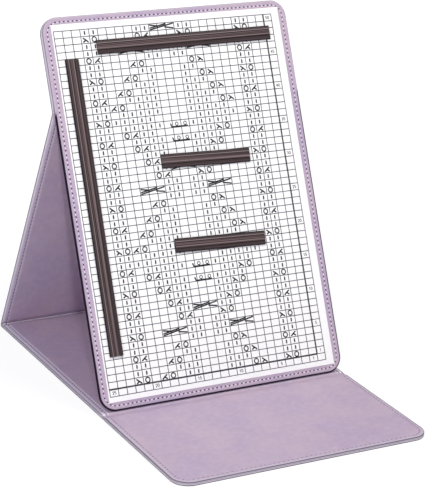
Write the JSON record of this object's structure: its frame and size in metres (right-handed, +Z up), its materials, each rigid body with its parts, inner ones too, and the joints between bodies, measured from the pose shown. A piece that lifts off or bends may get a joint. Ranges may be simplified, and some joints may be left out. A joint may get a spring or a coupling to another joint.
{
  "type": "knitting pattern holder",
  "caption": "Fold-up stand for a knitting chart: a steel-backed board leans in a stitched cover with a strut, a base and a front flap, and slim magnet strips hold the sheet and mark the row.",
  "frame": {"origin": "on the table, in the middle of the stand's length and width", "axes": "+X to the right across the board, +Y backwards from the flap to the rear crease, +Z up"},
  "size_m": [0.23, 0.3546, 0.3029],
  "materials": {
    "leather": "lavender coated leather with a fine soft grain, satin",
    "greyboard": "plain pressed board",
    "thread": "pale lavender sewing thread",
    "steel_sheet": "cold-rolled sheet",
    "magnet_disc": "nickel-plated",
    "paper": "plain printed paper",
    "strip_cover": "dark brown ribbed extrusion, satin",
    "strip_magnet": "magnet-filled rubber, matte"
  },
  "bodies": {
    "base": {"base_outer_skin": "leather", "base_inner_skin": "leather", "base_stiffener": "greyboard", "base_seam_thread": "thread", "base_magnets": "magnet_disc", "rear_crease_outer_strip": "leather", "rear_crease_inner_strip": "leather", "foot_crease_outer_strip": "leather", "foot_crease_inner_strip": "leather"},
    "flap": {"flap_outer_skin": "leather", "flap_inner_skin": "leather", "flap_stiffener": "greyboard", "flap_seam_thread": "thread", "flap_magnets": "magnet_disc"},
    "strut": {"strut_outer_skin": "leather", "strut_inner_skin": "leather", "strut_stiffener": "greyboard", "strut_seam_thread": "thread", "top_hinge_outer_strip": "leather", "top_hinge_inner_strip": "leather"},
    "board": {"board_front_skin": "leather", "board_back_skin": "leather", "upper_cover_outer_skin": "leather", "upper_cover_inner_skin": "leather", "upper_cover_stiffener": "greyboard", "board_seam_thread": "thread", "upper_cover_seam_thread": "thread", "board_steel_sheet": "steel_sheet", "chart_sheet": "paper"},
    "top_strip": {"top_strip_cover": "strip_cover", "top_strip_magnet": "strip_magnet"},
    "side_strip": {"side_strip_cover": "strip_cover", "side_strip_magnet": "strip_magnet"},
    "upper_middle_strip": {"upper_middle_strip_cover": "strip_cover", "upper_middle_strip_magnet": "strip_magnet"},
    "lower_middle_strip": {"lower_middle_strip_cover": "strip_cover", "lower_middle_strip_magnet": "strip_magnet"}
  },
  "joints": [
    {"name": "flap_fold", "type": "hinge", "parent": "base", "child": "flap", "pos_m": [0, -0.04288, 0.00205], "axis": [-1, 0, 0], "range_deg": [0, 100], "deforming": ["foot_crease_outer_strip", "foot_crease_inner_strip"]},
    {"name": "stand_fold", "type": "hinge", "parent": "base", "child": "strut", "pos_m": [0, 0.17533, 0.00205], "axis": [-1, 0, 0], "range_deg": [0, 24.5], "deforming": ["rear_crease_outer_strip", "rear_crease_inner_strip"]},
    {"name": "board_swing", "type": "hinge", "parent": "strut", "child": "board", "pos_m": [0, 0.06809, 0.22934], "axis": [1, 0, 0], "range_deg": [0, 49], "deforming": ["top_hinge_outer_strip", "top_hinge_inner_strip"]},
    {"name": "top_strip_slide", "type": "slide", "parent": "board", "child": "top_strip", "axis": [0, 0.4115, 0.9114], "range_m": [-0.042, 0.014]},
    {"name": "upper_middle_strip_slide", "type": "slide", "parent": "board", "child": "upper_middle_strip", "axis": [0, 0.4115, 0.9114], "range_m": [-0.026, 0.042]},
    {"name": "lower_middle_strip_slide", "type": "slide", "parent": "board", "child": "lower_middle_strip", "axis": [0, 0.4115, 0.9114], "range_m": [-0.085, 0.026]},
    {"name": "side_strip_slide", "type": "slide", "parent": "board", "child": "side_strip", "axis": [1, 0, 0], "range_m": [-0.005, 0.016]}
  ],
  "couplings": [
    {"joint": "board_swing", "follows": "stand_fold", "ratio": 2}
  ]
}
